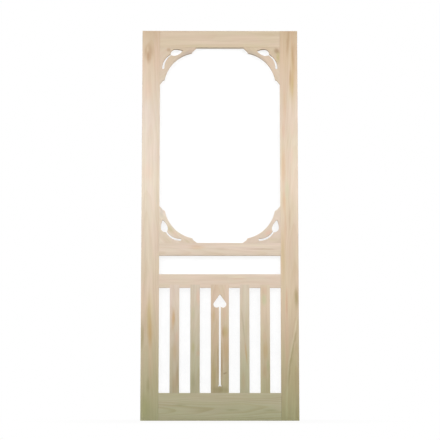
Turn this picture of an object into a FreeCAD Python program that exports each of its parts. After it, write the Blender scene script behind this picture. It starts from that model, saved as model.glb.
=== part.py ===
"""A wooden screen door, built board by board.

X runs from the hinge edge to the latch edge, the front faces -Y and Z is up. The origin is at the foot of
the hinge edge, at mid-thickness. All sizes are in millimetres.
"""

import math
import os
from types import SimpleNamespace

import FreeCAD
import Part
import Sketcher

SIZES = (
    # the whole leaf
    ("door_width", 812.8),
    ("door_height", 2032.0),
    ("board_thickness", 28.6),
    ("inset_thickness", 19.0),
    ("ease", 0.8),
    # stiles and rails, with each rail's lower edge measured from the foot of the door
    ("stile_width", 92.0),
    ("top_rail_height", 89.0),
    ("lock_rail_height", 65.0),
    ("lock_rail_base", 847.0),
    ("picket_rail_height", 70.0),
    ("picket_rail_base", 680.0),
    ("bottom_rail_height", 141.0),
    # mortise and tenon joints
    ("tenon_thickness", 10.0),
    ("tenon_length", 50.0),
    ("tenon_margin", 16.0),
    ("inset_tenon_thickness", 8.0),
    ("inset_tenon_length", 25.0),
    ("stub_length", 12.0),
    ("stub_margin", 5.0),
    ("mortise_clearance", 1.0),
    ("lap_height", 16.0),
    ("lap_depth", 9.5),
    # slats
    ("slat_width", 48.8),
    ("spade_slat_width", 93.0),
    # screen cloth, its grid of openings, and the cord and groove that hold it
    ("groove_offset", 8.0),
    ("groove_width", 4.0),
    ("groove_depth", 6.0),
    ("cloth_thickness", 0.4),
    ("grid_bar", 3.0),
    ("grid_columns", 8),
    ("upper_grid_rows", 13),
    ("lower_grid_rows", 9),
    ("rim_depth", 5.0),
    ("cord_depth", 5.0),
    # bracket outline, from the corner of the frame along its bud leg (x) and its stem leg (y)
    ("bud_leg", 193.0),
    ("stem_leg", 196.0),
    ("bud_step_x", 170.5),
    ("bud_step_y", 21.0),
    ("bud_end_x", 167.0),
    ("bud_end_y", 29.5),
    ("stem_end_x", 24.5),
    ("stem_end_y", 172.0),
    ("stem_step_x", 15.0),
    ("stem_step_y", 176.0),
    ("bracket_radius", 178.0),
    # the bud and stem cut through the bracket
    ("tip_x", 121.0),
    ("tip_y", 17.5),
    ("crown_x", 80.0),
    ("crown_y", 8.5),
    ("neck_x", 55.5),
    ("neck_y", 35.5),
    ("foot_x", 11.5),
    ("foot_y", 112.0),
    ("foot_width", 12.0),
    ("throat_x", 59.0),
    ("throat_y", 41.0),
    ("belly_x", 79.0),
    ("belly_y", 44.5),
    ("crown_radius", 95.0),
    ("shoulder_radius", 25.0),
    ("outer_radius", 82.0),
    ("foot_radius", 9.0),
    ("inner_radius", 80.0),
    ("belly_radius", 40.0),
    ("cheek_radius", 75.0),
    # the spade cut through the middle slat, measured from its tip or from its centre line
    ("spade_top_margin", 33.0),
    ("spade_shoulder_drop", 43.0),
    ("spade_shoulder_half", 31.0),
    ("spade_lobe_drop", 69.5),
    ("spade_lobe_half", 17.5),
    ("spade_crotch_drop", 64.0),
    ("spade_stem_half", 4.7),
    ("spade_flank_radius", 17.5),
    ("spade_lobe_radius", 14.0),
    ("spade_foot_margin", 32.0),
    ("spade_foot_rise", 15.0),
    ("spade_foot_half", 12.0),
    ("spade_flare_radius", 16.0),
    ("spade_arch_radius", 26.0),
)

PAD = "PartDesign::Pad"
POCKET = "PartDesign::Pocket"
PATTERN = "PartDesign::LinearPattern"


class Size:
    """A length kept both as a number and as the expression that gives it."""

    def __init__(self, number, text):
        self.number = number
        self.text = text

    def __add__(self, other):
        other = as_size(other)
        return Size(self.number + other.number, f"({self.text} + {other.text})")

    def __sub__(self, other):
        other = as_size(other)
        return Size(self.number - other.number, f"({self.text} - {other.text})")

    def __mul__(self, other):
        other = as_size(other)
        return Size(self.number * other.number, f"({self.text} * {other.text})")

    def __truediv__(self, other):
        other = as_size(other)
        return Size(self.number / other.number, f"({self.text} / {other.text})")


def as_size(value):
    return value if isinstance(value, Size) else Size(float(value), str(value))


ZERO = as_size(0)


def make_sheet(doc):
    """Put every size in a sheet, and return the sizes by name."""
    sheet = doc.addObject("Spreadsheet::Sheet", "Sizes")
    for row, (name, value) in enumerate(SIZES, start=1):
        sheet.set(f"A{row}", name)
        sheet.set(f"B{row}", str(value))
        sheet.setAlias(f"B{row}", name)
    doc.recompute()
    return SimpleNamespace(**{name: Size(value, f"Sizes.{name}") for name, value in SIZES})


def make_body(doc, label, corner, axes=None):
    """A body whose local origin is at corner; axes are the directions of its x, y and z."""
    body = doc.addObject("PartDesign::Body", label)
    body.Label = label
    if axes:
        turn = FreeCAD.Rotation(*(FreeCAD.Vector(*axis) for axis in axes), "ZXY")
        body.Placement = FreeCAD.Placement(FreeCAD.Vector(), turn)
    for letter, size in zip("xyz", corner):
        body.setExpression(f"Placement.Base.{letter}", size.text)
    return body


def add_sketch(body, name, role, height=None):
    """A sketch on one of the body's own planes, raised along the plane's normal."""
    plane = next(item for item in body.Origin.OriginFeatures if item.Role == role)
    sketch = body.newObject("Sketcher::SketchObject", name)
    sketch.AttachmentSupport = [(plane, "")]
    sketch.MapMode = "FlatFace"
    if height is not None:
        sketch.setExpression("AttachmentOffset.Base.z", height.text)
    return sketch


def extrude(body, kind, name, sketch, length, reverse=False):
    feature = body.newObject(kind, name)
    feature.Profile = sketch
    feature.setExpression("Length", length.text)
    feature.Reversed = reverse
    body.Document.recompute()
    return feature


def arc_between(start, end, radius, turn):
    """The shorter arc from start to end; turn is 1 when it goes anticlockwise and -1 when clockwise."""
    chord = end - start
    side = FreeCAD.Vector(-chord.y, chord.x, 0).normalize()
    rise = math.sqrt(radius**2 - (chord.Length / 2) ** 2)
    centre = (start + end) / 2 + side * (rise * turn)
    first, last = (start, end) if turn > 0 else (end, start)
    angles = [math.atan2(p.y - centre.y, p.x - centre.x) for p in (first, last)]
    if angles[1] < angles[0]:
        angles[1] += 2 * math.pi
    return Part.ArcOfCircle(Part.Circle(centre, FreeCAD.Vector(0, 0, 1), radius), *angles)


def tie(sketch, kind, axis, geometry, end, size):
    """Hold a vertex at a distance from the origin, or on the axis when the distance is nought."""
    if size is ZERO:
        sketch.addConstraint(Sketcher.Constraint("PointOnObject", geometry, end, axis))
        return
    index = sketch.addConstraint(Sketcher.Constraint(kind, -1, 1, geometry, end, size.number))
    sketch.setExpression(f"Constraints[{index}]", size.text)


def outline(sketch, corners):
    """Draw a closed outline. Each corner is (x, y), or (x, y, radius, turn) where an arc leaves it."""
    spots = [FreeCAD.Vector(corner[0].number, corner[1].number, 0) for corner in corners]
    edges = []
    for place, corner in enumerate(corners):
        start = spots[place]
        end = spots[(place + 1) % len(spots)]
        if len(corner) == 2:
            edges.append((sketch.addGeometry(Part.LineSegment(start, end)), 1, 2))
        else:
            arc = arc_between(start, end, corner[2].number, corner[3])
            ends = (1, 2) if corner[3] > 0 else (2, 1)
            edges.append((sketch.addGeometry(arc), *ends))
    for place, corner in enumerate(corners):
        geometry, start, end = edges[place]
        after = edges[(place + 1) % len(edges)]
        sketch.addConstraint(Sketcher.Constraint("Coincident", geometry, end, after[0], after[1]))
        tie(sketch, "DistanceX", -2, geometry, start, corner[0])
        tie(sketch, "DistanceY", -1, geometry, start, corner[1])
        if len(corner) == 4:
            index = sketch.addConstraint(Sketcher.Constraint("Radius", geometry, corner[2].number))
            sketch.setExpression(f"Constraints[{index}]", corner[2].text)


def rectangle(sketch, left, low, right, high):
    outline(sketch, [(left, low), (right, low), (right, high), (left, high)])


def eased_section(sketch, across, deep, ease):
    """A board's cross-section with its four arrises taken off."""
    corners = [
        (ease, ZERO),
        (across - ease, ZERO),
        (across, ease),
        (across, deep - ease),
        (across - ease, deep),
        (ease, deep),
        (ZERO, deep - ease),
        (ZERO, ease),
    ]
    outline(sketch, corners)


def opening_width(s):
    return s.door_width - s.stile_width * 2


def slat_gap(s):
    """The clear slot between two slats: six equal ones share what the slats leave of the opening."""
    return (opening_width(s) - s.slat_width * 4 - s.spade_slat_width) / 6


def slat_places(s):
    """Each slat's name, its left edge measured from the left stile, and its width."""
    gap = slat_gap(s)
    widths = (
        ("slat_far_left", s.slat_width),
        ("slat_left", s.slat_width),
        ("spade_slat", s.spade_slat_width),
        ("slat_right", s.slat_width),
        ("slat_far_right", s.slat_width),
    )
    places = []
    edge = gap
    for name, width in widths:
        places.append((name, edge, width))
        edge = edge + width + gap
    return places


def screen_spans(s):
    """The lower and upper edges of the two openings that the cloth covers."""
    return {
        "upper": (s.lock_rail_base + s.lock_rail_height, s.door_height - s.top_rail_height),
        "lower": (s.bottom_rail_height, s.lock_rail_base),
    }


def front_face(s):
    return ZERO - s.board_thickness / 2


def stile_groove(s, edge, near, far, span):
    """The groove's outline in a stile: a long run, with a short run to the inner edge at each end."""
    low, high = span
    low_near = low - s.groove_offset
    high_near = high + s.groove_offset
    return [
        (far, low_near - s.groove_width),
        (edge, low_near - s.groove_width),
        (edge, low_near),
        (near, low_near),
        (near, high_near),
        (edge, high_near),
        (edge, high_near + s.groove_width),
        (far, high_near + s.groove_width),
    ]


def make_stile(doc, s, label, left_side):
    corner_x = ZERO if left_side else s.door_width - s.stile_width
    body = make_body(doc, label, (corner_x, front_face(s), ZERO))
    section = add_sketch(body, f"{label}_section", "XY_Plane")
    eased_section(section, s.stile_width, s.board_thickness, s.ease)
    extrude(body, PAD, f"{label}_board", section, s.door_height)

    inner_edge = s.stile_width if left_side else None
    side = (s.board_thickness - s.tenon_thickness) / 2
    rails = (
        (ZERO, s.bottom_rail_height),
        (s.lock_rail_base, s.lock_rail_height),
        (s.door_height - s.top_rail_height, s.top_rail_height),
    )
    mortises = add_sketch(body, f"{label}_mortise_plan", "YZ_Plane", inner_edge)
    for base, height in rails:
        low = base + s.tenon_margin
        high = base + height - s.tenon_margin
        rectangle(mortises, side, low, side + s.tenon_thickness, high)
    depth = s.tenon_length + s.mortise_clearance
    extrude(body, POCKET, f"{label}_mortises", mortises, depth, reverse=not left_side)

    side = (s.inset_thickness - s.inset_tenon_thickness) / 2
    picket = add_sketch(body, f"{label}_picket_plan", "YZ_Plane", inner_edge)
    low = s.picket_rail_base + s.tenon_margin
    high = s.picket_rail_base + s.picket_rail_height - s.tenon_margin
    rectangle(picket, side, low, side + s.inset_tenon_thickness, high)
    depth = s.inset_tenon_length + s.mortise_clearance
    extrude(body, POCKET, f"{label}_picket_mortise", picket, depth, reverse=not left_side)

    if left_side:
        edge = s.stile_width
        near = s.stile_width - s.groove_offset
        far = near - s.groove_width
    else:
        edge = ZERO
        near = s.groove_offset
        far = s.groove_offset + s.groove_width
    groove = add_sketch(body, f"{label}_groove_plan", "XZ_Plane", ZERO - s.board_thickness)
    for span in screen_spans(s).values():
        outline(groove, stile_groove(s, edge, near, far, span))
    extrude(body, POCKET, f"{label}_grooves", groove, s.groove_depth, reverse=True)
    return body


def make_rail(doc, s, label, base, height, thickness, tenon_thickness, tenon_length):
    """A rail from shoulder to shoulder, with one tenon run through it that shows at both ends."""
    body = make_body(doc, label, (s.stile_width, front_face(s), base))
    section = add_sketch(body, f"{label}_section", "YZ_Plane")
    eased_section(section, thickness, height, s.ease)
    extrude(body, PAD, f"{label}_board", section, opening_width(s))
    tenon = add_sketch(body, f"{label}_tenon_section", "YZ_Plane", ZERO - tenon_length)
    side = (thickness - tenon_thickness) / 2
    rectangle(tenon, side, s.tenon_margin, side + tenon_thickness, height - s.tenon_margin)
    extrude(body, PAD, f"{label}_tenons", tenon, opening_width(s) + tenon_length * 2)
    return body


def groove_rail(s, body, height, above, below):
    """Cut the cord's groove along a rail, near its upper edge, its lower edge or both."""
    sketch = add_sketch(body, f"{body.Label}_groove_section", "YZ_Plane")
    floor = s.board_thickness - s.groove_depth
    if below:
        low = s.groove_offset
        rectangle(sketch, floor, low, s.board_thickness, low + s.groove_width)
    if above:
        high = height - s.groove_offset
        rectangle(sketch, floor, high - s.groove_width, s.board_thickness, high)
    extrude(body, POCKET, f"{body.Label}_grooves", sketch, opening_width(s), reverse=True)


def mortise_for_slats(s, body, height):
    """Cut the five stub mortises into a rail's upper edge."""
    sketch = add_sketch(body, f"{body.Label}_slat_plan", "XY_Plane", height)
    side = (s.inset_thickness - s.inset_tenon_thickness) / 2
    for _, edge, width in slat_places(s):
        left = edge + s.stub_margin
        right = edge + width - s.stub_margin
        rectangle(sketch, left, side, right, side + s.inset_tenon_thickness)
    depth = s.stub_length + s.mortise_clearance
    extrude(body, POCKET, f"{body.Label}_slat_mortises", sketch, depth)


def house_slats(s, body):
    """Cut the five shallow housings into a rail's front, open below, that the slats' laps lie in."""
    sketch = add_sketch(body, f"{body.Label}_slat_plan", "XZ_Plane")
    for _, edge, width in slat_places(s):
        rectangle(sketch, edge, ZERO, edge + width, s.lap_height)
    extrude(body, POCKET, f"{body.Label}_slat_housings", sketch, s.lap_depth)


def make_rails(doc, s):
    full = (s.board_thickness, s.tenon_thickness, s.tenon_length)
    inset = (s.inset_thickness, s.inset_tenon_thickness, s.inset_tenon_length)

    top_base = s.door_height - s.top_rail_height
    top = make_rail(doc, s, "top_rail", top_base, s.top_rail_height, *full)
    groove_rail(s, top, s.top_rail_height, above=False, below=True)

    lock = make_rail(doc, s, "lock_rail", s.lock_rail_base, s.lock_rail_height, *full)
    groove_rail(s, lock, s.lock_rail_height, above=True, below=True)

    picket = make_rail(doc, s, "picket_rail", s.picket_rail_base, s.picket_rail_height, *inset)
    house_slats(s, picket)

    bottom = make_rail(doc, s, "bottom_rail", ZERO, s.bottom_rail_height, *full)
    groove_rail(s, bottom, s.bottom_rail_height, above=True, below=False)
    mortise_for_slats(s, bottom, s.bottom_rail_height)
    return [top, lock, picket, bottom]


def spade_corners(s, height):
    """The spade's outline, down its left side from the tip and back up its right side."""
    middle = s.spade_slat_width / 2
    tip = height - s.spade_top_margin
    shoulder = tip - s.spade_shoulder_drop
    lobe = tip - s.spade_lobe_drop
    crotch = tip - s.spade_crotch_drop
    foot = s.spade_foot_margin
    ankle = s.spade_foot_margin + s.spade_foot_rise
    return [
        (middle, tip),
        (middle - s.spade_shoulder_half, shoulder, s.spade_flank_radius, 1),
        (middle - s.spade_lobe_half, lobe, s.spade_lobe_radius, 1),
        (middle - s.spade_stem_half, crotch),
        (middle - s.spade_stem_half, ankle, s.spade_flare_radius, -1),
        (middle - s.spade_foot_half, foot, s.spade_arch_radius, -1),
        (middle + s.spade_foot_half, foot, s.spade_flare_radius, -1),
        (middle + s.spade_stem_half, ankle),
        (middle + s.spade_stem_half, crotch, s.spade_lobe_radius, 1),
        (middle + s.spade_lobe_half, lobe, s.spade_flank_radius, 1),
        (middle + s.spade_shoulder_half, shoulder),
    ]


def lap_section(sketch, across, deep, ease):
    """The front part of a slat's section, with the two front arrises taken off."""
    corners = [
        (ease, ZERO),
        (across - ease, ZERO),
        (across, ease),
        (across, deep),
        (ZERO, deep),
        (ZERO, ease),
    ]
    outline(sketch, corners)


def make_slats(doc, s):
    """Each slat stands on a stub in the bottom rail, and its upper end is lapped into the picket rail."""
    height = s.picket_rail_base - s.bottom_rail_height
    side = (s.inset_thickness - s.inset_tenon_thickness) / 2
    bodies = []
    for label, edge, width in slat_places(s):
        corner = (s.stile_width + edge, front_face(s), s.bottom_rail_height)
        body = make_body(doc, label, corner)
        section = add_sketch(body, f"{label}_section", "XY_Plane")
        eased_section(section, width, s.inset_thickness, s.ease)
        extrude(body, PAD, f"{label}_board", section, height)
        stub = add_sketch(body, f"{label}_stub_section", "XY_Plane", ZERO - s.stub_length)
        rectangle(stub, s.stub_margin, side, width - s.stub_margin, side + s.inset_tenon_thickness)
        extrude(body, PAD, f"{label}_stub", stub, s.stub_length)
        lap = add_sketch(body, f"{label}_lap_section", "XY_Plane", height)
        lap_section(lap, width, s.lap_depth, s.ease)
        extrude(body, PAD, f"{label}_lap", lap, s.lap_height)
        if label == "spade_slat":
            spade = add_sketch(body, "spade_outline", "XZ_Plane")
            outline(spade, spade_corners(s, height))
            extrude(body, POCKET, "spade", spade, s.inset_thickness)
        bodies.append(body)
    return bodies


def bracket_corners(s):
    """The two straight legs, a run-out and a step at each end, and the hollow between them."""
    return [
        (ZERO, ZERO),
        (s.bud_leg, ZERO),
        (s.bud_step_x, s.bud_step_y),
        (s.bud_end_x, s.bud_end_y, s.bracket_radius, -1),
        (s.stem_end_x, s.stem_end_y),
        (s.stem_step_x, s.stem_step_y),
        (ZERO, s.stem_leg),
    ]


def bud_corners(s):
    """The bud and its stem as one outline: tip, crown, neck, down the stem, round its foot and back."""
    return [
        (s.tip_x, s.tip_y, s.crown_radius, -1),
        (s.crown_x, s.crown_y, s.shoulder_radius, -1),
        (s.neck_x, s.neck_y, s.outer_radius, -1),
        (s.foot_x, s.foot_y, s.foot_radius, -1),
        (s.foot_x + s.foot_width, s.foot_y, s.inner_radius, 1),
        (s.throat_x, s.throat_y, s.belly_radius, -1),
        (s.belly_x, s.belly_y, s.cheek_radius, -1),
    ]


def make_bracket(doc, s, label, corner, axes):
    body = make_body(doc, label, corner, axes)
    plan = add_sketch(body, f"{label}_plan", "XY_Plane")
    outline(plan, bracket_corners(s))
    extrude(body, PAD, f"{label}_board", plan, s.inset_thickness)
    bud = add_sketch(body, f"{label}_bud_outline", "XY_Plane")
    outline(bud, bud_corners(s))
    extrude(body, POCKET, f"{label}_bud", bud, s.inset_thickness, reverse=True)
    return body


def make_brackets(doc, s):
    """One design turned into the four corners; the pair on the right is turned over."""
    left = s.stile_width
    right = s.door_width - s.stile_width
    low, high = screen_spans(s)["upper"]
    front = front_face(s)
    back = front + s.inset_thickness
    along_x, against_x = (1, 0, 0), (-1, 0, 0)
    along_y, against_y = (0, 1, 0), (0, -1, 0)
    along_z, against_z = (0, 0, 1), (0, 0, -1)
    corners = (
        ("bracket_top_left", (left, front, high), (along_x, against_z, along_y)),
        ("bracket_top_right", (right, back, high), (against_x, against_z, against_y)),
        ("bracket_bottom_left", (left, front, low), (along_z, along_x, along_y)),
        ("bracket_bottom_right", (right, back, low), (along_z, against_x, against_y)),
    )
    return [make_bracket(doc, s, *corner) for corner in corners]


def cut_grid(s, body, margin, span, rows):
    """Cut one opening of the grid at the lower left of the frame's opening, and repeat it across and up."""
    low, high = span
    column = opening_width(s) / s.grid_columns
    row = (high - low) / rows
    near = margin + s.grid_bar / 2
    plan = add_sketch(body, f"{body.Label}_opening_plan", "XZ_Plane", ZERO - s.board_thickness)
    rectangle(plan, near, near, margin + column - s.grid_bar / 2, margin + row - s.grid_bar / 2)
    opening = extrude(body, POCKET, f"{body.Label}_opening", plan, s.cloth_thickness)
    grid = body.newObject(PATTERN, f"{body.Label}_grid")
    grid.Originals = [opening]
    grid.Direction = (plan, ["H_Axis"])
    grid.Direction2 = (plan, ["V_Axis"])
    grid.Mode = "Extent"
    grid.Mode2 = "Extent"
    grid.setExpression("Length", (opening_width(s) - column).text)
    grid.setExpression("Length2", (high - low - row).text)
    grid.setExpression("Occurrences", s.grid_columns.text)
    grid.setExpression("Occurrences2", rows.text)
    body.Tip = grid


def make_screen(doc, s, label, span, rows):
    """The cloth: a sheet on the back of the frame, its rim turned down into the groove, with a plain grid."""
    low, high = span
    reach = s.groove_offset + s.cloth_thickness
    width = opening_width(s) + reach * 2
    height = high - low + reach * 2
    corner = (s.stile_width - reach, front_face(s), low - reach)
    body = make_body(doc, label, corner)
    sheet = add_sketch(body, f"{label}_sheet_plan", "XZ_Plane", ZERO - s.board_thickness)
    rectangle(sheet, ZERO, ZERO, width, height)
    extrude(body, PAD, f"{label}_sheet", sheet, s.cloth_thickness, reverse=True)
    rim = add_sketch(body, f"{label}_rim_plan", "XZ_Plane", s.rim_depth - s.board_thickness)
    rectangle(rim, ZERO, ZERO, width, height)
    wall = s.cloth_thickness
    rectangle(rim, wall, wall, width - wall, height - wall)
    extrude(body, PAD, f"{label}_rim", rim, s.rim_depth + s.cloth_thickness, reverse=True)
    cut_grid(s, body, reach, span, rows)
    return body


def make_cord(doc, s, label, corner, length, upright):
    """A straight length of the vinyl cord, with the arrises of its section taken off."""
    body = make_body(doc, label, corner)
    thick = s.groove_width - s.cloth_thickness
    if upright:
        section = add_sketch(body, f"{label}_section", "XY_Plane")
        eased_section(section, thick, s.cord_depth, s.ease)
    else:
        section = add_sketch(body, f"{label}_section", "YZ_Plane")
        eased_section(section, s.cord_depth, thick, s.ease)
    extrude(body, PAD, f"{label}_length", section, length)
    return body


def make_cords(doc, s, name, span):
    """The four lengths round one cloth: the uprights run full height and the others fit between."""
    low, high = span
    thick = s.groove_width - s.cloth_thickness
    reach = s.groove_offset + s.groove_width
    inner = s.groove_offset + s.cloth_thickness
    left = s.stile_width - reach
    right = s.door_width - s.stile_width + reach - thick
    floor = front_face(s) + s.board_thickness - s.cord_depth
    height = high - low + reach * 2
    width = opening_width(s) + inner * 2
    between = s.stile_width - inner
    return [
        make_cord(doc, s, f"{name}_spline_left", (left, floor, low - reach), height, True),
        make_cord(doc, s, f"{name}_spline_right", (right, floor, low - reach), height, True),
        make_cord(doc, s, f"{name}_spline_bottom", (between, floor, low - reach), width, False),
        make_cord(doc, s, f"{name}_spline_top", (between, floor, high + inner), width, False),
    ]


def check_and_export(doc, bodies):
    """Stop on any failed object or unsound shape, then write one file for each piece."""
    faults = [item.Name for item in doc.Objects if {"Invalid", "Error"} & set(item.State)]
    for body in bodies:
        shape = body.Shape
        if shape.isNull() or not shape.isValid() or len(shape.Solids) != 1:
            faults.append(body.Label)
    if faults:
        raise RuntimeError("unsound: " + ", ".join(sorted(set(faults))))
    os.makedirs("parts", exist_ok=True)
    for body in bodies:
        body.Shape.exportStep(f"parts/{body.Label}.step")


def main():
    doc = FreeCAD.newDocument("screen_door")
    s = make_sheet(doc)
    bodies = [make_stile(doc, s, "left_stile", True), make_stile(doc, s, "right_stile", False)]
    bodies += make_rails(doc, s)
    bodies += make_brackets(doc, s)
    bodies += make_slats(doc, s)
    rows = {"upper": s.upper_grid_rows, "lower": s.lower_grid_rows}
    for name, span in screen_spans(s).items():
        bodies.append(make_screen(doc, s, f"{name}_screen", span, rows[name]))
        bodies += make_cords(doc, s, name, span)
    doc.recompute()
    check_and_export(doc, bodies)
    for body in bodies:
        box = body.Shape.BoundBox
        print(f"{body.Label}: {body.Shape.Volume / 1000:.1f} cm3, {box}")


main()
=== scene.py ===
import math
from collections import namedtuple

import bpy
import numpy as np
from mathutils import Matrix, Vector


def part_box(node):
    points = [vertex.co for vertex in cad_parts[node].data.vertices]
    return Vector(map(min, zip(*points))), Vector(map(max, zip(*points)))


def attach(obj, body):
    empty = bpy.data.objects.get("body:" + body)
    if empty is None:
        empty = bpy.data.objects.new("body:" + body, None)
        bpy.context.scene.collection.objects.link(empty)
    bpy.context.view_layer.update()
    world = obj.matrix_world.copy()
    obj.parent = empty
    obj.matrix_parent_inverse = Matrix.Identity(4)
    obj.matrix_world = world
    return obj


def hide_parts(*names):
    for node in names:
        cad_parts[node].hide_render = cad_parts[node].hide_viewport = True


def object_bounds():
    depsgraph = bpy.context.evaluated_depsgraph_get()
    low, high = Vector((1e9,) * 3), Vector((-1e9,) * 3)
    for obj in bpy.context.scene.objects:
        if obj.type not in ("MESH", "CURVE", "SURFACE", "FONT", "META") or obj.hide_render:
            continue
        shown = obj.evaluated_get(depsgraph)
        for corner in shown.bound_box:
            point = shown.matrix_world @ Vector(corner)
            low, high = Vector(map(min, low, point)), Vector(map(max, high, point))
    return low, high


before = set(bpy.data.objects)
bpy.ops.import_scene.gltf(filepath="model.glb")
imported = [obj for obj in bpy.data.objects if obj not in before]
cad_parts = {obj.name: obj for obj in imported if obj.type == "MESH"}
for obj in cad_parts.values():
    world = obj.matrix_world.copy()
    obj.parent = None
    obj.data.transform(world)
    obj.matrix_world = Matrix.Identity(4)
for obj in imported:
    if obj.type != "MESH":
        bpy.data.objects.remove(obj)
cad_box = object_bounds()

MM = 0.001
IMAGE = 440
MIDDLE = (cad_box[0].x + cad_box[1].x) / 2
WHITE = (1.0, 1.0, 1.0, 1.0)


class Graph:
    """The node tree of a material or a world, with short ways to add and join nodes."""

    def __init__(self, owner, shader):
        owner.use_nodes = True
        self.tree = owner.node_tree
        self.shader = self.tree.nodes[shader]

    def feed(self, socket, value):
        if isinstance(value, bpy.types.NodeSocket):
            self.tree.links.new(value, socket)
        else:
            socket.default_value = value

    def add(self, kind, inputs, **settings):
        node = self.tree.nodes.new(kind)
        for key, value in settings.items():
            setattr(node, key, value)
        for key, value in inputs.items():
            self.feed(node.inputs[key], value)
        return node

    def math(self, operation, *values):
        return self.add("ShaderNodeMath", dict(enumerate(values)), operation=operation).outputs[0]

    def vector(self, operation, *values):
        node = self.add("ShaderNodeVectorMath", dict(enumerate(values)), operation=operation)
        return node.outputs["Value" if operation in ("LENGTH", "DOT_PRODUCT") else "Vector"]

    def noise(self, place, scale, detail=2.0, roughness=0.5):
        """A noise node, with its swings in a metre along each axis."""
        swings = self.vector("MULTIPLY", place, scale)
        inputs = {"Vector": swings, "Scale": 1.0, "Detail": detail, "Roughness": roughness}
        return self.add("ShaderNodeTexNoise", inputs)

    def ramp(self, value, low, high, start=0.0, end=1.0):
        """A smooth step: start below low, end above high."""
        inputs = {"Value": value, "From Min": low, "From Max": high, "To Min": start, "To Max": end}
        node = self.add("ShaderNodeMapRange", inputs, interpolation_type="SMOOTHSTEP")
        return node.outputs["Result"]

    def mix(self, share, first, second, blend="MIX"):
        settings = {"data_type": "RGBA", "blend_type": blend}
        node = self.add("ShaderNodeMix", {0: share, 6: first, 7: second}, **settings)
        return node.outputs[2]

    def set(self, **sockets):
        for name, value in sockets.items():
            self.feed(self.shader.inputs[name.replace("_", " ")], value)


def new_material(name):
    material = bpy.data.materials.new(name)
    return material, Graph(material, "Principled BSDF")


def object_place(graph):
    return graph.add("ShaderNodeTexCoord", {}).outputs["Object"]


def srgb(red, green, blue):
    """A colour as a picture shows it, from 0 to 255, as the light it stands for."""
    def light(part):
        part = part / 255
        return part / 12.92 if part <= 0.04045 else ((part + 0.055) / 1.055) ** 2.4
    return (light(red), light(green), light(blue), 1.0)


def shade(colour, keeps):
    return (*(part * kept for part, kept in zip(colour, keeps)), 1.0)


# wood

LATE = srgb(214, 184, 148)
PALE = srgb(248, 234, 214)
PINK = srgb(242, 208, 190)
RED = srgb(226, 172, 146)
ORANGE = srgb(224, 176, 122)
TAN = srgb(216, 190, 140)
OLIVE = srgb(212, 200, 154)
GREEN = srgb(212, 214, 176)
BROWN = srgb(184, 142, 104)
MOSS = srgb(168, 152, 104)
UMBER = srgb(146, 104, 72)
# a greyer tone that lies along the brackets' rims
RIM_GREY = srgb(206, 198, 190)

# what the darker and the streaked parts of a board keep of its tone
DARKER = (0.93, 0.91, 0.89)
STREAKED = (0.89, 0.84, 0.77)

# what a sawn edge keeps of each colour as painted shade, and what an end of the grain and the rosy and
# greenish parts of a board keep of each colour
SAWN_EDGE_SHADE = (0.84, 0.79, 0.72, 1.0)
END_GRAIN = (0.82, 0.76, 0.68, 1.0)
ROSY = (1.00, 0.97, 0.96, 1.0)
GREENISH = (0.98, 0.985, 0.94, 1.0)

# painted shade with height: the boards darken and turn olive towards the foot and darken towards the head; a
# share of the height, and what it keeps of each colour
HEIGHT_SHADE = (
    (0.00, (0.49, 0.57, 0.42)),
    (0.10, (0.61, 0.65, 0.52)),
    (0.30, (0.86, 0.85, 0.80)),
    (0.45, (0.86, 0.86, 0.84)),
    (0.60, (0.93, 0.96, 0.98)),
    (0.80, (0.82, 0.84, 0.87)),
    (0.92, (0.75, 0.71, 0.67)),
    (1.00, (0.64, 0.60, 0.53)),
)

UPRIGHT = 90
LEVEL = 0
RISING = 45
FALLING = -45

# A board's grain runs at an angle to the level. The pith line that its rings lie about passes its centre at a
# distance across the face and one behind it, in metres, and leans away along the grain.
Board = namedtuple("Board", "grain tone pith_across pith_depth lean seed rings")

BOARDS = {
    "left_stile": Board(UPRIGHT, (240, 223, 206), 0.01, 0.09, 0.02, 1.0, 0.2),
    "right_stile": Board(UPRIGHT, (238, 219, 198), -0.03, 0.06, 0.03, 2.0, 0.25),
    "top_rail": Board(LEVEL, (244, 231, 216), 0.02, 0.09, 0.02, 3.0, 0.12),
    "lock_rail": Board(LEVEL, (240, 223, 209), -0.02, 0.07, 0.03, 4.0, 0.25),
    "picket_rail": Board(LEVEL, (244, 228, 214), 0.01, 0.10, 0.01, 5.0, 0.15),
    "bottom_rail": Board(LEVEL, (251, 234, 223), -0.012, 0.0604, 0.022, 6.0, 0.45),
    "bracket_top_left": Board(RISING, (238, 225, 210), 0.0, 0.07, 0.05, 7.0, 0.2),
    "bracket_top_right": Board(FALLING, (236, 222, 204), 0.0, 0.07, 0.05, 8.0, 0.2),
    "bracket_bottom_left": Board(FALLING, (242, 227, 212), 0.0, 0.07, 0.05, 9.0, 0.25),
    "bracket_bottom_right": Board(RISING, (236, 219, 204), 0.0, 0.07, 0.05, 10.0, 0.2),
    "slat_far_left": Board(UPRIGHT, (244, 228, 220), 0.02, 0.07, 0.03, 11.0, 0.2),
    "slat_left": Board(UPRIGHT, (236, 225, 212), -0.02, 0.07, 0.03, 12.0, 0.2),
    "spade_slat": Board(UPRIGHT, (240, 220, 203), 0.01, 0.05, 0.04, 13.0, 0.25),
    "slat_right": Board(UPRIGHT, (237, 225, 211), 0.0, 0.08, 0.02, 14.0, 0.2),
    "slat_far_right": Board(UPRIGHT, (240, 223, 205), 0.02, 0.06, 0.02, 15.0, 0.2),
}

# the boards that have edges sawn to a shape
FRETTED = (
    "bracket_top_left", "bracket_top_right", "bracket_bottom_left", "bracket_bottom_right", "spade_slat",
)

# A mark on a board's front: its place on the door, half its length and half its width, in millimetres, then
# its tone, how much of it shows, and its direction in degrees from level where it isn't along the grain.
Mark = namedtuple("Mark", "x z half_long half_wide tone share turn", defaults=(None,))

# half the length of each mark in a line of them, as a share of its stretch
CHAIN_LENGTH = 0.7


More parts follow.
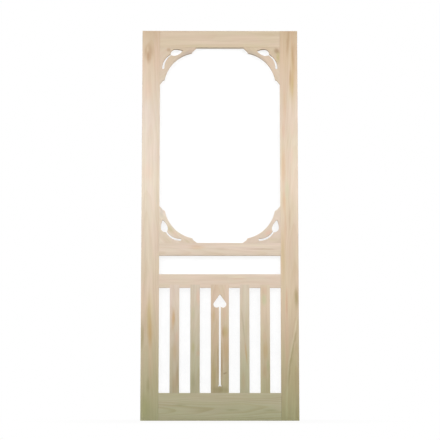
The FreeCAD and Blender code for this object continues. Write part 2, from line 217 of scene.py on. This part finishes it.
def line_of_marks(points, half_wide, tone, share):
    """Slender marks end to end, along a bent grain line."""
    marks = []
    for (x0, z0), (x1, z1) in zip(points, points[1:]):
        half_long = math.hypot(x1 - x0, z1 - z0) * CHAIN_LENGTH
        turn = math.degrees(math.atan2(z1 - z0, x1 - x0))
        marks.append(Mark((x0 + x1) / 2, (z0 + z1) / 2, half_long, half_wide, tone, share, turn))
    return tuple(marks)


# the grain line that climbs the foot of the right stile, pale with a dark side
CLIMB = ((748, 6), (749, 98), (753, 195), (760, 295), (769, 338), (776, 380), (787, 432), (803, 527))
CLIMB_DARK = ((756, 195), (765, 280), (775, 335), (784, 390), (796, 445))

MARKS = {
    "left_stile": (
        Mark(33, 1921, 46, 27, BROWN, 0.50),
        Mark(34, 1882, 32, 14, BROWN, 0.40),
        Mark(28, 1932, 23, 8, PALE, 0.45),
        Mark(29, 1712, 69, 32, PINK, 0.40),
        Mark(34, 1280, 52, 32, PINK, 0.40),
        Mark(44, 530, 140, 17, TAN, 0.55),
        Mark(50, 440, 95, 14, ORANGE, 0.50),
        Mark(51, 284, 115, 13, PINK, 0.50),
        Mark(8, 433, 90, 10, MOSS, 0.40),
        Mark(38, 179, 50, 12, MOSS, 0.28),
        Mark(27, 73, 80, 32, OLIVE, 0.40),
    ),
    "right_stile": (
        Mark(790, 1800, 240, 17, TAN, 0.50),
        Mark(764, 1974, 85, 9, BROWN, 0.45, 86),
        Mark(790, 1890, 75, 9, BROWN, 0.32, 94),
        Mark(780, 1750, 80, 14, TAN, 0.80),
        Mark(775, 1785, 60, 6, BROWN, 0.45),
        Mark(745, 1640, 110, 12, ORANGE, 0.28),
        Mark(739, 1505, 60, 10, RED, 0.35),
        Mark(738, 1310, 120, 11, ORANGE, 0.50),
        Mark(740, 1130, 70, 11, ORANGE, 0.50),
        Mark(783, 1505, 45, 14, PINK, 0.35),
        Mark(779, 1370, 55, 13, PINK, 0.35),
        Mark(768, 1045, 75, 7, BROWN, 0.25),
        Mark(756, 1188, 64, 14, GREEN, 0.45),
        Mark(734, 850, 170, 14, TAN, 0.60),
        Mark(746, 1000, 110, 7, ORANGE, 0.35),
        Mark(751, 606, 90, 8, RED, 0.45),
        Mark(801, 629, 61, 13, MOSS, 0.55),
        Mark(750, 390, 180, 15, PINK, 0.40),
        Mark(784, 200, 150, 24, OLIVE, 0.25),
        *line_of_marks(CLIMB_DARK, 8, MOSS, 0.45),
        *line_of_marks(CLIMB, 6, PALE, 0.60),
    ),
    # painted shade: an olive strip along the whole lower edge of the rail
    "top_rail": (Mark(407, 1950, 345, 11, OLIVE, 0.30),),
    "lock_rail": (
        Mark(554, 897, 184, 8, PALE, 0.60),
        Mark(641, 880, 100, 5, BROWN, 0.25),
        Mark(417, 881, 34, 8, BROWN, 0.12),
        Mark(288, 889, 46, 13, ORANGE, 0.35),
    ),
    "picket_rail": (
        Mark(498, 735, 53, 6, PALE, 0.65),
        Mark(498, 727, 53, 5, RED, 0.35),
    ),
    "bottom_rail": (
        Mark(205, 80, 40, 6, MOSS, 0.35),
        Mark(470, 55, 40, 6, MOSS, 0.35),
        Mark(665, 53, 40, 6, MOSS, 0.35),
    ),
    "bracket_top_left": (
        Mark(165, 1838, 66, 20, RIM_GREY, 0.50, 62),
        Mark(204, 1886, 60, 20, RIM_GREY, 0.50, 38),
        Mark(242, 1912, 44, 16, RIM_GREY, 0.60, 20),
    ),
    "bracket_top_right": (
        Mark(706, 1918, 26, 18, MOSS, 0.30),
        Mark(711, 1888, 34, 13, OLIVE, 0.75, 90),
        Mark(648, 1838, 66, 20, RIM_GREY, 0.50, -62),
        Mark(609, 1886, 60, 20, RIM_GREY, 0.50, -38),
        Mark(571, 1912, 44, 16, RIM_GREY, 0.60, -20),
    ),
    "bracket_bottom_left": (
        Mark(122, 925, 34, 8, OLIVE, 0.25),
        Mark(136, 930, 34, 4, OLIVE, 0.25),
        Mark(105, 1072, 34, 12, RIM_GREY, 0.45, 90),
        Mark(150, 984, 26, 14, OLIVE, 0.45, -52),
        Mark(176, 962, 22, 12, PINK, 0.35, -35),
        Mark(241, 921, 34, 12, OLIVE, 0.30, -10),
    ),
    "bracket_bottom_right": (
        Mark(656, 967, 26, 13, PINK, 0.50, 35),
        Mark(658, 966, 20, 10, RED, 0.15, 35),
        Mark(672, 931, 36, 12, OLIVE, 0.25, 0),
    ),
    "slat_far_left": (
        Mark(167, 519, 60, 11, ORANGE, 0.55, 87),
        Mark(185, 426, 34, 10, PINK, 0.55),
        Mark(176, 352, 60, 16, ORANGE, 0.30),
        Mark(188, 238, 69, 8, BROWN, 0.35),
        Mark(178, 180, 70, 20, RED, 0.35),
    ),
    "slat_left": (
        Mark(295, 627, 53, 10, PINK, 0.55),
        Mark(268, 545, 40, 14, GREEN, 0.40),
        Mark(270, 374, 34, 12, OLIVE, 0.45),
        Mark(295, 343, 17, 11, PINK, 0.45),
        Mark(270, 196, 57, 14, MOSS, 0.25),
    ),
    "spade_slat": (
        Mark(374, 535, 45, 12, TAN, 0.50),
        Mark(381, 400, 80, 15, PINK, 0.50),
        Mark(432, 540, 34, 16, PINK, 0.50),
        Mark(434, 452, 38, 17, TAN, 0.75),
        Mark(422, 448, 30, 5, BROWN, 0.40),
        Mark(437, 364, 80, 21, ORANGE, 0.38),
        Mark(375, 244, 90, 14, TAN, 0.45),
        # painted shade: dark brown strips along both edges of the slot
        Mark(397, 300, 120, 5, BROWN, 0.40),
        Mark(416, 300, 120, 6, BROWN, 0.45),
        Mark(432, 241, 12, 5, UMBER, 0.55, 20),
        Mark(407, 157, 46, 22, MOSS, 0.45, 0),
    ),
    "slat_right": (
        Mark(527, 480, 90, 5, MOSS, 0.32, 96),
        Mark(541, 345, 75, 6, ORANGE, 0.45, 96),
        Mark(542, 488, 80, 10, OLIVE, 0.35),
        Mark(528, 200, 60, 12, RED, 0.25),
    ),
    "slat_far_right": (
        Mark(633, 663, 30, 20, RED, 0.26),
        Mark(633, 617, 34, 16, GREEN, 0.60),
        Mark(634, 431, 34, 16, PINK, 0.50),
        Mark(640, 358, 55, 16, ORANGE, 0.34),
        Mark(654, 279, 34, 10, GREEN, 0.50),
        Mark(636, 250, 40, 14, RED, 0.30),
    ),
}

# a knot on a board's front: its place and half its width in millimetres, its tone and how much shows
Knot = namedtuple("Knot", "x z half tone share")
KNOTS = {
    "bracket_top_left": (Knot(138, 1930, 12, BROWN, 0.42),),
    "bracket_top_right": (Knot(704, 1926, 15, UMBER, 0.36),),
}

# how deep marks and knots go, in millimetres, and how much longer than wide a knot is
MARK_DEPTH = 20
KNOT_SLANT = 1.1

# swings of the noise in a metre: along the grain, behind the face and across it
DRIFT_SCALE = (2.2, 9.0, 9.0)
FIBRE_SCALE = (9.0, 520.0, 520.0)
BROAD_SCALE = (1.1, 24.0, 24.0)
STREAK_SCALE = (2.4, 95.0, 95.0)
BLOTCH_SCALE = (6.0, 20.0, 20.0)
ROUGH_SCALE = (40.0, 160.0, 160.0)

# how far apart the boards' patterns lie in the noise, the noise's middle value, how many finer layers some of
# it has, and how rough the fibres are
SEED_STEP = (3.1, 1.7, 2.3)
NOISE_MIDDLE = (0.5, 0.5, 0.5)
FINE = 3.0
FIBRE_GRIT = 0.6

# how far the noise bends the rings and the streaks and roughens the rims of marks, in metres
RING_SWAY = (0.0, 0.02, 0.02)
STREAK_SWAY = (0.0, 0.012, 0.012)
RIM_SWAY = (0.006, 0.0, 0.006)

# millimetres from one year's ring to the next, and the part of a year that is late wood
RING = 5.0
LATE_STARTS = (0.3, 0.9)
LATE_ENDS = (0.92, 1.0, 1.0, 0.0)

# how many years the rings swell by at a knot, and how fast that falls off
KNOT_SWELL = 3.0
KNOT_FALL = 0.35

# smooth steps: where each starts and ends, and in some its values there
DARK_PARTS = (0.34, 0.66)
STREAKED_PARTS = (0.45, 0.8, 0.0, 0.4)
RINGED_PARTS = (0.3, 0.7)
GREENISH_PARTS = (0.36, 0.64)
FIBROUS_MARKS = (0.3, 0.6, 0.75, 1.1)
MARK_RIM = (0.1, 1.3)
KNOT_RIM = (0.3, 1.2)
END_FACES = (0.6, 0.95)
SAWN_SHADE_FACES = (0.2, 0.6, 1.0, 0.0)
FIBRE_LIGHT = (0.3, 0.7, 0.95, 1.03)
FIBRE_ROUGHNESS = (0.3, 0.7, 0.62, 0.8)

# what the faintest rings keep of the strongest, and the wood's gloss and relief
FAINT_RINGS = 0.4
GLOSS = 0.2
RING_RELIEF = 0.5
FIBRE_RELIEF = 0.6
BUMP_STRENGTH = 0.25
BUMP_DEPTH = 0.15 * MM

# a board's fields: the place as its rings see it, the place as its marks see it, and four kinds of noise
Grain = namedtuple("Grain", "bent ragged fibre broad streak blotch")


def mapped(graph, place, spot, turn, scale):
    """A place measured from a spot, along and across a direction, in units of scale."""
    rotation = (0.0, -math.radians(turn), 0.0)
    inputs = {"Vector": place, "Location": spot, "Rotation": rotation, "Scale": scale}
    return graph.add("ShaderNodeMapping", inputs, vector_type="TEXTURE").outputs["Vector"]


def wander(graph, place, scale):
    """A shift along each axis that noise makes, as often one way as the other."""
    return graph.vector("SUBTRACT", graph.noise(place, scale).outputs["Color"], NOISE_MIDDLE)


def grain_of(graph, place, centre, board):
    """The fields of one board, drawn out along its grain."""
    along = mapped(graph, place, centre, board.grain, (1.0, 1.0, 1.0))
    seeded = graph.vector("ADD", along, tuple(board.seed * step for step in SEED_STEP))
    drift = wander(graph, seeded, DRIFT_SCALE)
    swayed = graph.vector("ADD", seeded, graph.vector("MULTIPLY", drift, STREAK_SWAY))
    rough = graph.vector("MULTIPLY", wander(graph, seeded, ROUGH_SCALE), RIM_SWAY)
    return Grain(
        bent=graph.vector("ADD", along, graph.vector("MULTIPLY", drift, RING_SWAY)),
        ragged=graph.vector("ADD", place, rough),
        fibre=graph.noise(seeded, FIBRE_SCALE, FINE, FIBRE_GRIT).outputs[0],
        broad=graph.noise(swayed, BROAD_SCALE, FINE).outputs[0],
        streak=graph.noise(swayed, STREAK_SCALE).outputs[0],
        blotch=graph.noise(swayed, BLOTCH_SCALE).outputs[0],
    )


def reach_of(graph, place, front, spot, turn, half_long, half_wide):
    """How far a place is from a mark or knot on the front, where 1 is the edge of an ellipse."""
    centre = (spot.x * MM, front, spot.z * MM)
    scale = (half_long * MM, MARK_DEPTH * MM, half_wide * MM)
    return graph.vector("LENGTH", mapped(graph, place, centre, turn, scale))


def year_rings(graph, bent, board, knot_reaches):
    """How much of each place is late wood, in rings about the pith line that swell round the knots."""
    along, deep, across = graph.add("ShaderNodeSeparateXYZ", {0: bent}).outputs
    pith = graph.math("MULTIPLY_ADD", along, board.lean, board.pith_depth)
    depth = graph.math("SUBTRACT", deep, pith)
    side = graph.math("SUBTRACT", across, board.pith_across)
    square = graph.math("MULTIPLY_ADD", depth, depth, graph.math("MULTIPLY", side, side))
    turns = graph.math("DIVIDE", graph.math("SQRT", square), RING * MM)
    for reach in knot_reaches:
        fall = graph.math("MULTIPLY", graph.math("MULTIPLY", reach, reach), -KNOT_FALL)
        turns = graph.math("MULTIPLY_ADD", graph.math("EXPONENT", fall), KNOT_SWELL, turns)
    year = graph.math("FRACT", turns)
    return graph.math("MULTIPLY", graph.ramp(year, *LATE_STARTS), graph.ramp(year, *LATE_ENDS))


def plain_wood(graph, grain, board, late):
    """A board's tone, with its darker parts, its streaks and its rings."""
    tone = srgb(*board.tone)
    colour = graph.mix(graph.ramp(grain.broad, *DARK_PARTS), tone, shade(tone, DARKER))
    colour = graph.mix(graph.ramp(grain.streak, *STREAKED_PARTS), colour, shade(tone, STREAKED))
    strength = graph.ramp(grain.broad, *RINGED_PARTS, board.rings * FAINT_RINGS, board.rings)
    return graph.mix(graph.math("MULTIPLY", late, strength), colour, LATE)


def with_marks(graph, colour, grain, board, front, marks):
    fibrous = graph.ramp(grain.streak, *FIBROUS_MARKS)
    for mark in marks:
        turn = board.grain if mark.turn is None else mark.turn
        reach = reach_of(graph, grain.ragged, front, mark, turn, mark.half_long, mark.half_wide)
        shows = graph.math("MULTIPLY", graph.ramp(reach, *MARK_RIM, mark.share, 0.0), fibrous)
        colour = graph.mix(shows, colour, mark.tone)
    return colour


def with_knots(graph, colour, knots, reaches):
    for knot, reach in zip(knots, reaches):
        colour = graph.mix(graph.ramp(reach, *KNOT_RIM, knot.share, 0.0), colour, knot.tone)
    return colour


def painted_height_shade(graph, place):
    """Painted shade: darker and olive towards the foot of the door, darker towards its head."""
    height = graph.add("ShaderNodeSeparateXYZ", {0: place}).outputs["Z"]
    share = graph.math("DIVIDE", height, cad_box[1].z)
    ramp = graph.add("ShaderNodeValToRGB", {"Fac": share})
    stops = ramp.color_ramp.elements
    while len(stops) < len(HEIGHT_SHADE):
        stops.new(1.0)
    for stop, (position, keeps) in zip(stops, HEIGHT_SHADE):
        stop.position = position
        stop.color = (*keeps, 1.0)
    return ramp.outputs["Color"]


def with_tints_and_height_shade(graph, colour, place, blotch):
    """Rosy and greenish parts, and the painted shade that darkens the foot and the head."""
    tint = graph.mix(graph.ramp(blotch, *GREENISH_PARTS), ROSY, GREENISH)
    colour = graph.mix(1.0, colour, tint, "MULTIPLY")
    return graph.mix(1.0, colour, painted_height_shade(graph, place), "MULTIPLY")


def facing(graph, direction):
    """How squarely a face looks along a direction, either way."""
    normal = graph.add("ShaderNodeNewGeometry", {}).outputs["Normal"]
    return graph.math("ABSOLUTE", graph.vector("DOT_PRODUCT", normal, direction))


def with_cut_faces(graph, colour, board, sawn):
    """Darker ends of the grain and, where a board is fretted, painted shade on the sawn edges."""
    turn = math.radians(board.grain)
    ends = graph.ramp(facing(graph, (math.cos(turn), 0.0, math.sin(turn))), *END_FACES)
    colour = graph.mix(ends, colour, END_GRAIN, "MULTIPLY")
    if sawn:
        # painted shade: every sawn edge darkened, whichever way it faces
        edges = graph.ramp(facing(graph, (0.0, 1.0, 0.0)), *SAWN_SHADE_FACES)
        colour = graph.mix(edges, colour, SAWN_EDGE_SHADE, "MULTIPLY")
    return colour


def add_surface(graph, colour, late, fibre):
    """Put the colour on the shader, with fibres and rings in its light, gloss and relief."""
    colour = graph.vector("MULTIPLY", colour, graph.ramp(fibre, *FIBRE_LIGHT))
    graph.set(Base_Color=colour, Roughness=graph.ramp(fibre, *FIBRE_ROUGHNESS), Specular_IOR_Level=GLOSS)
    relief = graph.math("MULTIPLY_ADD", late, RING_RELIEF, graph.math("MULTIPLY", fibre, FIBRE_RELIEF))
    inputs = {"Height": relief, "Strength": BUMP_STRENGTH, "Distance": BUMP_DEPTH}
    graph.set(Normal=graph.add("ShaderNodeBump", inputs).outputs["Normal"])


def pine(node, board, marks, knots, sawn):
    """Sawn pine for one board."""
    material, graph = new_material(f"pine_{node}")
    low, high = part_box(node)
    front = low.y
    place = object_place(graph)
    grain = grain_of(graph, place, (low + high) / 2, board)
    reaches = [
        reach_of(graph, grain.ragged, front, knot, board.grain, knot.half * KNOT_SLANT, knot.half)
        for knot in knots
    ]
    late = year_rings(graph, grain.bent, board, reaches)
    colour = plain_wood(graph, grain, board, late)
    colour = with_marks(graph, colour, grain, board, front, marks)
    colour = with_knots(graph, colour, knots, reaches)
    # painted shade: darker and olive towards the foot, darker towards the head
    colour = with_tints_and_height_shade(graph, colour, place, grain.blotch)
    colour = with_cut_faces(graph, colour, board, sawn)
    add_surface(graph, colour, late, grain.fibre)
    return material


def dress(node, material):
    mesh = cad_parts[node].data
    mesh.materials.clear()
    mesh.materials.append(material)


# how the sawn edges are eased: what is welded, what counts as flat, and the bevel
WELD_GAP = 0.01 * MM
FLAT_ANGLE = math.radians(0.5)
EASE_WIDTH = 0.8 * MM
EASE_STEPS = 2
EDGE_ANGLE = math.radians(40)


def ease_edges(node):
    """Take the sharpness off the edges that the saw left."""
    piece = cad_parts[node]
    weld = piece.modifiers.new("weld", "WELD")
    weld.merge_threshold = WELD_GAP
    flat = piece.modifiers.new("flat", "DECIMATE")
    flat.decimate_type = "DISSOLVE"
    flat.angle_limit = FLAT_ANGLE
    bevel = piece.modifiers.new("ease", "BEVEL")
    bevel.width = EASE_WIDTH
    bevel.segments = EASE_STEPS
    bevel.limit_method = "ANGLE"
    bevel.angle_limit = EDGE_ANGLE
    piece.modifiers.new("shading", "WEIGHTED_NORMAL")


def dress_boards():
    for node, board in BOARDS.items():
        sawn = node in FRETTED
        dress(node, pine(node, board, MARKS.get(node, ()), KNOTS.get(node, ()), sawn))
        if sawn:
            ease_edges(node)


# insect cloth and its cord

# a wire's thickness, and the distances from one wire to the next
WIRE = 0.15 * MM
MESH_ACROSS = 1.59 * MM
MESH_UP = 1.41 * MM

# how far apart the two layers of wires lie, in wires
LAYER = 0.6

# the corners of a wire's section, and its sides and ends as corners of the first end and then of the second
SECTION = ((-0.5, -0.5), (0.5, -0.5), (0.5, 0.5), (-0.5, 0.5))
WIRE_FACES = ((0, 1, 5, 4), (1, 2, 6, 5), (2, 3, 7, 6), (3, 0, 4, 7), (3, 2, 1, 0), (4, 5, 6, 7))

WIRE_TONES = (srgb(246, 247, 248), srgb(236, 238, 240))
WIRE_SCALE = (9.0, 9.0, 9.0)
WIRE_ROUGHNESS = 0.6
VINYL_TONES = (srgb(214, 213, 208), srgb(200, 199, 194))
VINYL_SCALE = (60.0, 60.0, 60.0)
VINYL_ROUGHNESS = (0.42, 0.58)
PATCHES = (0.3, 0.7)


def prisms(starts, ends, first, second):
    """Square wires from starts to ends, whose sides are the vectors first and second."""
    offsets = np.array([a * first + b * second for a, b in SECTION])
    rings = [points[:, None, :] + offsets[None, :, :] for points in (starts, ends)]
    vertices = np.concatenate(rings, axis=1).reshape(-1, 3)
    first_corners = 2 * len(SECTION) * np.arange(len(starts))
    quads = np.array(WIRE_FACES)[None, :, :] + first_corners[:, None, None]
    return vertices, quads.reshape(-1, 4)


def wires(low, high, pitch, run, layer):
    """Straight wires that run along one axis (0 or 2) and repeat along the other, in one layer."""
    step = 2 - run
    count = int((high[step] - low[step]) / pitch)
    spread = low[step] + (high[step] - low[step] - (count - 1) * pitch) / 2
    starts = np.zeros((count, 3))
    starts[:, step] = spread + pitch * np.arange(count)
    starts[:, 1] = layer
    ends = starts.copy()
    starts[:, run] = low[run]
    ends[:, run] = high[run]
    across = np.zeros(3)
    across[step] = WIRE
    # the sign keeps the faces looking outward
    deep = np.array([0.0, WIRE if run == 2 else -WIRE, 0.0])
    return prisms(starts, ends, across, deep)


def make_cloth(name, node, material):
    low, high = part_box(node)
    back = high.y - WIRE / 2
    uprights, first = wires(low, high, MESH_ACROSS, 2, back)
    levels, second = wires(low, high, MESH_UP, 0, back - WIRE * LAYER)
    mesh = bpy.data.meshes.new(name)
    faces = np.concatenate([first, second + len(uprights)])
    mesh.from_pydata(np.concatenate([uprights, levels]).tolist(), [], faces.tolist())
    mesh.materials.append(material)
    piece = bpy.data.objects.new(name, mesh)
    bpy.context.scene.collection.objects.link(piece)
    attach(piece, "root")
    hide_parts(node)


def bright_wire():
    material, graph = new_material("bright_wire")
    blotch = graph.noise(object_place(graph), WIRE_SCALE, FINE).outputs[0]
    colour = graph.mix(graph.ramp(blotch, *PATCHES), *WIRE_TONES)
    graph.set(Base_Color=colour, Metallic=1.0, Roughness=WIRE_ROUGHNESS)
    return material


def vinyl():
    material, graph = new_material("vinyl_cord")
    scuff = graph.noise(object_place(graph), VINYL_SCALE, FINE).outputs[0]
    colour = graph.mix(graph.ramp(scuff, *PATCHES), *VINYL_TONES)
    graph.set(Base_Color=colour, Roughness=graph.ramp(scuff, *PATCHES, *VINYL_ROUGHNESS))
    return material


def dress_screens():
    cord = vinyl()
    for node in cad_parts:
        if "_spline_" in node:
            dress(node, cord)
    cloth = bright_wire()
    make_cloth("upper_wire_cloth", "upper_screen", cloth)
    make_cloth("lower_wire_cloth", "lower_screen", cloth)


# stage, light and camera

FLOOR_DROP = 2 * MM
FLOOR_HALF = 12.0
FLOOR_GREY = (0.5, 0.5, 0.5, 1.0)
FLOOR_ROUGHNESS = 0.9

# how white the floor looks: two distances from the door in metres, and the share of white at each; the
# smaller share near the door paints a faint grey shade round its foot, and lets its real shadow show there
FLOOR_WHITE_AND_SHADE = (0.3, 1.1, 0.92, 1.0)

# the light that comes from all round
AMBIENT = (0.22, 0.22, 0.22, 1.0)


def looked_at(graph):
    """1 where the camera looks, straight or by a mirror or glass, and 0 for the light on the door."""
    path = graph.add("ShaderNodeLightPath", {})
    seen = graph.math("MAXIMUM", path.outputs["Is Camera Ray"], path.outputs["Is Glossy Ray"])
    return graph.math("MAXIMUM", seen, path.outputs["Is Transmission Ray"])


def floor_white():
    material, graph = new_material("floor_white")
    graph.set(Base_Color=FLOOR_GREY, Roughness=FLOOR_ROUGHNESS)
    glow = graph.add("ShaderNodeEmission", {"Color": WHITE, "Strength": 1.0})
    from_door = graph.vector("SUBTRACT", object_place(graph), (MIDDLE, 0.0, -FLOOR_DROP))
    away = graph.vector("LENGTH", from_door)
    # painted shade: the floor greyer near the door's foot, besides the real shadow
    share = graph.math("MULTIPLY", looked_at(graph), graph.ramp(away, *FLOOR_WHITE_AND_SHADE))
    both = graph.add("ShaderNodeMixShader", {0: share, 1: graph.shader.outputs[0], 2: glow.outputs[0]})
    graph.feed(graph.tree.nodes["Material Output"].inputs["Surface"], both.outputs[0])
    return material


def make_floor():
    mesh = bpy.data.meshes.new("floor")
    signs = ((-1, -1), (1, -1), (1, 1), (-1, 1))
    corners = [(x * FLOOR_HALF, y * FLOOR_HALF, -FLOOR_DROP) for x, y in signs]
    mesh.from_pydata(corners, [], [(0, 1, 2, 3)])
    mesh.materials.append(floor_white())
    floor = bpy.data.objects.new("floor", mesh)
    bpy.context.scene.collection.objects.link(floor)


def make_world():
    world = bpy.data.worlds.new("studio")
    bpy.context.scene.world = world
    graph = Graph(world, "Background")
    graph.set(Color=graph.mix(looked_at(graph), AMBIENT, WHITE))


# where each lamp stands from the middle of the door, in metres, and its watts
LAMPS = (
    ("front_left", -2.2, -2.3, 70.0),
    ("front_right", 2.2, -2.3, 70.0),
    ("back_left", -2.2, 2.3, 64.0),
    ("back_right", 2.2, 2.3, 64.0),
)
LAMP_HEIGHT = 2.6
LAMP_SIZE = 1.2
AIM_HEIGHT = 1.3
AIM = Vector((MIDDLE, 0.0, AIM_HEIGHT))


def make_lamp(name, across, along, watts):
    data = bpy.data.lights.new(name, "AREA")
    data.size = LAMP_SIZE
    data.energy = watts
    lamp = bpy.data.objects.new(name, data)
    lamp.location = (MIDDLE + across, along, LAMP_HEIGHT)
    lamp.rotation_euler = (AIM - lamp.location).to_track_quat("-Z", "Y").to_euler()
    lamp.visible_camera = False
    bpy.context.scene.collection.objects.link(lamp)


# the photograph's view: the camera's place in metres, its turn to the right, its tilt up and its focal length
CAMERA_PLACE = (0.3553, -7.8, 0.1226)
CAMERA_TURN = math.radians(0.381)
CAMERA_TILT = math.radians(6.657)
FOCAL_PIXELS = 1513.0
SENSOR = 36.0


def make_camera():
    data = bpy.data.cameras.new("camera")
    data.sensor_width = SENSOR
    data.lens = FOCAL_PIXELS / IMAGE * SENSOR
    camera = bpy.data.objects.new("camera", data)
    camera.location = CAMERA_PLACE
    camera.rotation_euler = (math.radians(90) + CAMERA_TILT, 0.0, -CAMERA_TURN)
    bpy.context.scene.collection.objects.link(camera)
    bpy.context.scene.camera = camera


make_camera()
dress_boards()
dress_screens()
make_floor()
make_world()
for lamp in LAMPS:
    make_lamp(*lamp)
bpy.context.scene.view_settings.view_transform = "Standard"
